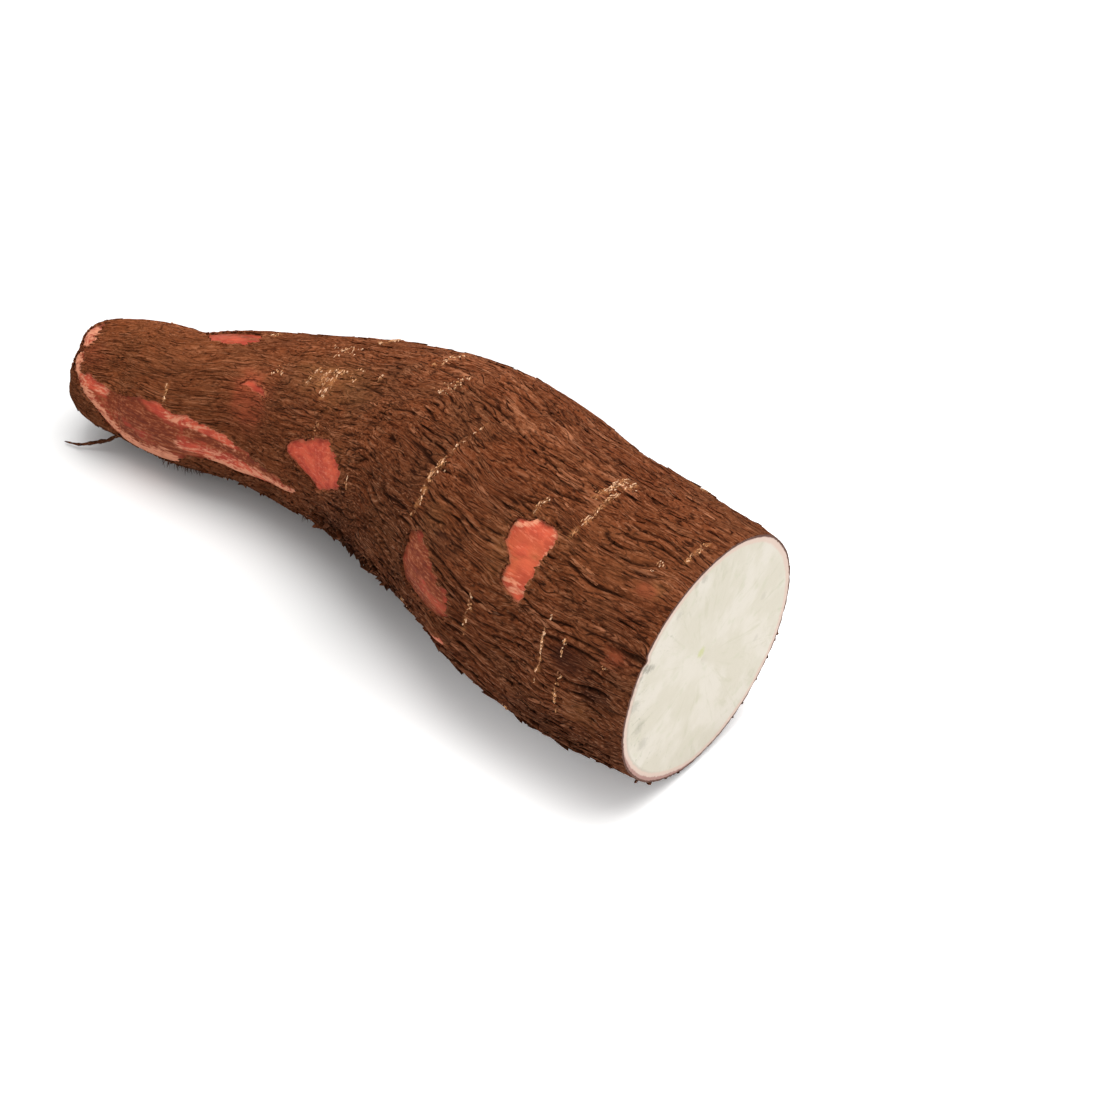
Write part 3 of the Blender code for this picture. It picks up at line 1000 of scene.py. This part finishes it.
class Paint:
    """A new material whose nodes are added by methods and whose shader is set by name."""

    def __init__(self, name, **constants):
        self.material = bpy.data.materials.new(name)
        self.material.use_nodes = True
        self.tree = self.material.node_tree
        self.shader = self.tree.nodes["Principled BSDF"]
        for socket, value in constants.items():
            self.shader.inputs[socket.replace("_", " ")].default_value = value

    def node(self, kind, settings, inputs, output=0):
        """Add a node, its settings first, then values or wires on its sockets. Gives an output."""
        made = self.tree.nodes.new(kind)
        for setting, value in settings.items():
            setattr(made, setting, value)
        for socket, value in inputs.items():
            self.join(value, made.inputs[socket])
        return Wire(self, made.outputs[output])

    def join(self, value, socket):
        """Link a wire to a socket, or set the socket to a plain value."""
        if isinstance(value, Wire):
            self.tree.links.new(value.socket, socket)
        else:
            socket.default_value = value

    def values(self, *names):
        """Numbers stored on the piece's points."""
        return [self.node("ShaderNodeAttribute", {"attribute_name": name}, {}, "Fac") for name in names]

    def stored(self, name):
        """A vector stored on the piece's points."""
        return self.node("ShaderNodeAttribute", {"attribute_name": name}, {}, "Vector")

    def vector(self, operation, first, second=None, output="Vector"):
        """One Vector Math node."""
        inputs = {0: first} if second is None else {0: first, 1: second}
        return self.node("ShaderNodeVectorMath", {"operation": operation}, inputs, output)

    def parts(self, vector):
        """The three parts of a vector."""
        split = self.node("ShaderNodeSeparateXYZ", {}, {0: vector}).socket.node
        return [Wire(self, output) for output in split.outputs]

    def noise(self, place, stretch, scale, detail, roughness=0.5, distortion=0):
        """Fractal noise, about 0.5 in the middle, drawn out along the root by a stretch below 1."""
        if stretch != 1:
            place = self.vector("MULTIPLY", place, (stretch, 1, 1))
        inputs = {"Vector": place, "Scale": scale, "Detail": detail, "Roughness": roughness}
        return self.node("ShaderNodeTexNoise", {}, {**inputs, "Distortion": distortion})

    def mix(self, share, first, second):
        """Colour between two: the first where share is 0, the second where it is 1."""
        first, second = (part if isinstance(part, Wire) else (*part, 1) for part in (first, second))
        return self.node("ShaderNodeMix", {"data_type": "RGBA"}, {0: share, 6: first, 7: second}, 2)

    def coats(self, colour, *coats):
        """A colour with others laid over it in turn, each given as its share and its colour."""
        for share, coat in coats:
            colour = self.mix(share, colour, coat)
        return colour

    def bump(self, height, distance):
        """Fine relief from a height of 0 to 1 worth `distance` metres."""
        relief_wire = self.node("ShaderNodeBump", {}, {"Height": height, "Distance": distance, "Strength": 1})
        self.join(relief_wire, self.shader.inputs["Normal"])

    def finish(self, colour, roughness):
        """Join colour and roughness, and give the material."""
        self.join(colour, self.shader.inputs["Base Color"])
        self.join(roughness, self.shader.inputs["Roughness"])
        return self.material


def bark_paint():
    """Dry brown bark: folded browns, dark lines, pale flecks, worn torn edges, and painted shade and highlight.
    """
    p = Paint("cassava_bark", Specular_IOR_Level=0.02)
    place = p.stored("place")
    streak = p.noise(place, 0.11, 0.9, 4, 0.6, 0.3)
    strand = p.noise(place, 0.15, 2.2, 3, 0.6)
    fleck = p.noise(place, 0.4, 1.6, 3, 0.7)
    tick = p.noise(place, 0.3, 2.6, 2, 0.6)
    bend = p.noise(place, 0.25, 0.25, 2)
    cloud = p.noise(place, 1, 0.05, 3, 0.55)
    warm = p.noise(place, 1, 0.11, 2)
    broken = p.noise(place, 0.4, 0.4, 2)
    along, up, across = p.parts(place)
    turn = across.math("ARCTAN2", up) / FULL_TURN
    ridge = (turn * 112 + bend * 8).math("PINGPONG", 0.5) * 2
    fine_ridge = (turn * 240 + bend * 11 + streak * 2).math("PINGPONG", 0.5) * 2
    depth, tone, inside, shade, lenticel = p.values("depth", "tone", "inside", "shade", "lenticel")
    dark, tan, red = p.parts(p.stored("stain"))
    light = streak * 0.4 + strand * 0.25 + tone * 0.25 + ridge * 0.05 + fine_ridge * 0.07
    line = ridge.between(0.26, 0.05) * broken.between(0.5, 0.6)
    hair = fine_ridge.between(0.34, 0.06) * broken.between(0.54, 0.42)
    worn = inside.between(-0.7, -0.1)
    # pale fine crests low on the side: partly dry frayed bark edges, partly a painted highlight
    frayed_and_highlight = fine_ridge.between(0.7, 0.95) * tick.between(0.48, 0.58) * shade.between(0.3, 0.55)
    brown = p.coats(
        (0.085, 0.0195, 0.006),
        (light.between(0.34, 0.52), (0.17, 0.048, 0.0175)),
        (light.between(0.52, 0.72), (0.38, 0.15, 0.074)),
        (warm.between(0.48, 0.7) * 0.35, (0.21, 0.052, 0.018)),
        (cloud.between(0.46, 0.66) * 0.4, (0.12, 0.049, 0.022)),
        (fleck.between(0.6, 0.7) * 0.4, (0.42, 0.185, 0.095)),
        (tick.between(0.56, 0.66) * 0.5, (0.33, 0.13, 0.062)),
        (tick.between(0.44, 0.35) * 0.75, (0.036, 0.009, 0.0035)),
        (line * 0.9, (0.024, 0.006, 0.0025)),
        (hair * 0.6, (0.04, 0.01, 0.004)),
        (lenticel.between(0.2, 0.9) * 0.8, (0.46, 0.185, 0.07)),
        (along.between(110, 190) * 0.2, (0.28, 0.074, 0.024)),
        (tan * 0.6, (0.37, 0.15, 0.055)),
        (red * 0.65, (0.29, 0.06, 0.027)),
        (dark * 0.85, (0.038, 0.012, 0.007)),
        (worn * streak.between(0.4, 0.6) * 0.6, (0.4, 0.14, 0.065)),
    )
    # painted shade: the stored shade darkens the bark most underneath, and the stored depth darkens grooves,
    # cracks and the scales' undersides
    brown = p.coats(
        p.mix(shade, brown, p.mix(0.82, brown, (0.01, 0.003, 0.0015))),
        (frayed_and_highlight * 0.45, (0.3, 0.15, 0.088)),
        (depth.between(0.12, 0.75) * 0.82, (0.016, 0.005, 0.0025)),
    )
    p.bump(streak * 0.5 + strand * 0.5 + fleck * 0.2 + ridge * 0.3 - line * 0.7 - hair * 0.4, 0.5 * MM)
    return p.finish(brown, 0.97 - streak * 0.1)


def inner_skin_paint():
    """Salmon-pink inner skin in the patches: fibres along the root, brown films and pale ridges."""
    p = Paint("cassava_inner_skin", Specular_IOR_Level=0.08)
    place = p.stored("place")
    fibre = p.noise(place, 0.14, 1.5, 4, 0.6, 0.4)
    cloud = p.noise(place, 0.6, 0.3, 3, 0.6)
    blotch = p.noise(place, 0.45, 0.65, 3, 0.6)
    grit = p.noise(place, 0.6, 1.3, 3, 0.65)
    inside, pink, ridge = p.values("inside", "pink", "ridge")
    _, tan, _ = p.parts(p.stored("stain"))
    thread = fibre * 0.6 + grit * 0.4
    film = (cloud * 0.35 + blotch * 0.3 + fibre * 0.25 + grit * 0.1 + (1 - pink) * 0.4).between(0.52, 0.8)
    browned = p.mix(thread.between(0.4, 0.6), (0.09, 0.0155, 0.005), (0.205, 0.045, 0.0135))
    speckled = (fibre * 0.4 + grit * 0.6).between(0.5, 0.64) * (1 - pink).between(0.3, 0.6)
    uneven = ridge * 0.85 + (blotch - 0.5) * 2.2 + (fibre - 0.5) * 2.2 + (grit - 0.5) * 1.6
    pale = uneven.between(0.2, 0.95) * ridge.between(0.02, 0.35)
    rim = (inside + (grit - 0.5) * 1.2).between(0.8, 0.1) * (pink * 0.7 + 0.2)
    colour = p.coats(
        (0.33, 0.041, 0.0235),
        (cloud.between(0.38, 0.6), (0.495, 0.078, 0.04)),
        (thread.between(0.5, 0.66) * 0.7, (0.63, 0.165, 0.098)),
        (film * 0.92, browned),
        (speckled * 0.4, (0.4, 0.165, 0.088)),
        (pale * 0.9, (0.59, 0.24, 0.142)),
        (tan * 0.6, (0.52, 0.14, 0.052)),
        (rim * 0.5, (0.48, 0.18, 0.095)),
    )
    p.bump(thread, 0.35 * MM)
    return p.finish(colour, 0.75 - fibre * 0.15)


# Grey bruises on the cut: sideways and upward place from its middle, radius (mm), strength.
BRUISES = (
    (-26.6, 17.2, 0.7, 0.6), (-25.6, 15.9, 0.8, 0.8), (-23.9, 14.2, 1.1, 1.0), (-22.2, 13.0, 1.2, 1.0),
    (-20.6, 12.3, 0.9, 0.6), (-25.2, 12.0, 0.7, 0.6), (-26.6, 10.8, 0.6, 0.5), (-27.6, 9.4, 0.6, 0.5),
    (-28.0, 7.6, 0.5, 0.4), (-26.8, 3.9, 1.5, 0.45), (-24.4, -5.1, 1.8, 0.4), (-22.1, -12.1, 1.8, 0.4),
    (-2.0, 27.9, 1.2, 0.5), (-5.2, 27.8, 0.8, 0.3), (-11.6, 22.7, 1.0, 0.35), (25.5, 3.3, 1.0, 0.25),
    (24.2, -10.2, 0.9, 0.25),
)
PITH = (0.0, -0.4, 2.7)


def flesh_paint():
    """The cut: a line of bark, a pink ring, then creamy flesh with faint rays and bruises."""
    p = Paint("cassava_flesh", Specular_IOR_Level=0.2)
    place = p.stored("place")
    (inside,) = p.values("inside")
    length = p.vector("LENGTH", place, output="Value")
    spoke = {0: p.vector("NORMALIZE", place), "Scale": 5.0 + length * 0.05}
    ray = p.noise(p.node("ShaderNodeVectorMath", {"operation": "SCALE"}, spoke), 1, 1.5, 3, 0.65, 0.6)
    cloud = p.noise(place, 1, 0.09, 3, 0.55)
    mottle = p.noise(place, 1, 0.3, 4, 0.6)
    speck = p.noise(place, 1, 1.2, 3, 0.6)
    _, left, low = p.parts(place)
    streak = (ray * 0.5 + speck * 0.5).between(0.54, 0.64) * inside.between(1.5, 4) * inside.between(14, 6)
    under = (left * -0.65 + low * -0.75).between(24, 33)
    wobble = inside + (mottle - 0.5) * 0.9 + (speck - 0.5) * 0.3 - under * 0.9
    seam = wobble.between(1.6, 1.9) * wobble.between(2.6, 2.2) * left.between(-10, -24)
    pith = (p.vector("DISTANCE", place, PITH, "Value") + (speck - 0.5) * 3).between(2.0, 0.6)
    colour = p.coats(
        (0.515, 0.48, 0.4),
        (cloud.between(0.4, 0.62), (0.56, 0.522, 0.455)),
        (ray.between(0.52, 0.72) * length.between(3, 12) * 0.45, (0.43, 0.412, 0.305)),
        (mottle.between(0.55, 0.7) * 0.4, (0.455, 0.455, 0.34)),
        (streak * (0.15 + left.between(-2, -20) * 0.45), (0.33, 0.32, 0.26)),
        (wobble.between(2.4, 1.6) * 0.85, (0.545, 0.41, 0.345)),
        (seam * 0.4, (0.36, 0.34, 0.28)),
        # dark mauve edge of the flesh, widened along the cut's lower edge by under; that wider part is partly
        # the flesh's own colour, partly painted shade
        (wobble.between(0.9, 0.45) * 0.85, (0.29, 0.145, 0.125)),
        (inside.between(0.5, 0.25), (0.09, 0.034, 0.02)),
        (pith * 0.7, (0.43, 0.45, 0.2)),
    )
    beside = p.node("ShaderNodeCombineXYZ", {}, {1: left, 2: low})
    for sideways, upward, radius, strength in BRUISES:
        gap = p.vector("DISTANCE", beside, (0, sideways, upward), "Value")
        mark = (gap / radius + (speck - 0.5) * 1.8 + (mottle - 0.5) * 1.6).between(1.5, 0.4)
        colour = p.mix(mark * strength * 0.8, colour, (0.25, 0.235, 0.195))
    p.bump(mottle * 0.4 + speck * 0.4 + ray * 0.2, 0.15 * MM)
    return p.finish(colour, 0.6 + mottle * 0.15)


def cork_paint():
    """Tan cork of the raised marks."""
    p = Paint("cassava_cork", Specular_IOR_Level=0.25)
    (tone,) = p.values("tone")
    grit = p.noise(p.stored("place"), 1, 1.8, 3, 0.6)
    colour = p.coats(
        (0.26, 0.098, 0.04),
        (tone.between(0.1, 0.6), (0.6, 0.285, 0.118)),
        (tone.between(0.5, 0.9), (0.88, 0.56, 0.35)),
        (grit.between(0.52, 0.4) * 0.7, (0.17, 0.07, 0.03)),
    )
    p.bump(grit, 0.3 * MM)
    return p.finish(colour, 0.9 - grit * 0.1)


# ---- floor, light and camera

FLOOR_SIZE = 6.0
AIM = Vector((0.0288, 0.0317, 0))    # where the camera's axis meets the floor
CAMERA_AZIMUTH = 41.45
CAMERA_HEIGHT = 40
CAMERA_DISTANCE = 0.721
LENS = 85
SENSOR = 36
LIGHT_DISTANCE = 1.6
BLACK, WHITE = (0, 0, 0), (1, 1, 1)


def floor():
    """A white floor under the root with painted light, glowing a little and paler beside the cut than the tip.
    """
    p = Paint("pale_floor", Specular_IOR_Level=0.1, Emission_Strength=1.0)
    place = p.node("ShaderNodeTexCoord", {}, {}, "Object")
    near = p.vector("LENGTH", place, output="Value").between(0.6, 0.25)
    toward_cut = p.parts(place)[0].between(0, 90 * MM)
    # painted light: near the root the floor glows a little beside the cut
    p.join(p.mix(near * toward_cut, BLACK, (0.15, 0.15, 0.15)), p.shader.inputs["Emission Color"])
    # painted light: near the root the floor's colour is paler beside the cut and darker beside the tip
    floor_colour_with_painted_light = p.mix(near, (0.96, 0.96, 0.96), p.mix(toward_cut, (0.76, 0.76, 0.76), WHITE))
    half, down = FLOOR_SIZE / 2, CAD_BOX[0][2] - 0.2 * MM
    corners = np.array([(-half, -half, down), (half, -half, down), (half, half, down), (-half, half, down)])
    made = build_mesh("floor", corners, [np.array([[0, 1, 2, 3]])], [p.finish(floor_colour_with_painted_light, 0.9)])


def stand(data, azimuth, height, distance, aim):
    """Place a lamp or camera at a distance from its aim, from an azimuth and height in degrees."""
    turn, tilt = radians(azimuth), radians(height)
    away = Vector((sin(turn) * cos(tilt), -cos(turn) * cos(tilt), sin(tilt)))
    stood = bpy.data.objects.new(data.name, data)
    stood.location = aim + away * distance
    stood.rotation_euler = away.to_track_quat("Z", "Y").to_euler()
    bpy.context.scene.collection.objects.link(stood)
    return stood


def soft_light(name, azimuth, height, size, power, colour):
    """A square soft light aimed at the root."""
    data = bpy.data.lights.new(name, "AREA")
    data.size = size
    data.energy = power
    data.color = colour
    stand(data, azimuth, height, LIGHT_DISTANCE, Vector())


def studio():
    """White surroundings, one large light almost overhead, and a weak one from the left."""
    world = bpy.data.worlds.new("white_room")
    world.use_nodes = True
    world.node_tree.nodes["Background"].inputs["Color"].default_value = (*WHITE, 1)
    world.node_tree.nodes["Background"].inputs["Strength"].default_value = 0.87
    bpy.context.scene.world = world
    soft_light("key_light", 132, 78, 1.4, 26, (1, 0.99, 0.97))
    soft_light("left_light", -110, 60, 0.8, 2.5, WHITE)
    bpy.context.scene.view_settings.view_transform = "Standard"


def camera():
    """The camera, aimed at the floor beside the root from the front right."""
    data = bpy.data.cameras.new("camera")
    data.lens = LENS
    data.sensor_width = SENSOR
    data.clip_start = 0.01
    bpy.context.scene.camera = stand(data, CAMERA_AZIMUTH, CAMERA_HEIGHT, CAMERA_DISTANCE, AIM)


# ---- making it

camera()
studio()
floor()
bark = bark_paint()
body = root_body([bark, inner_skin_paint(), flesh_paint()])
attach(body, "root")
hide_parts("cassava_root")
bark_flakes(bark)
torn_edges(bark)
loose_flaps(bark)
rim_crumbs(bark)
side_root(bark)
hair_tufts(bark)
cork_marks(cork_paint())
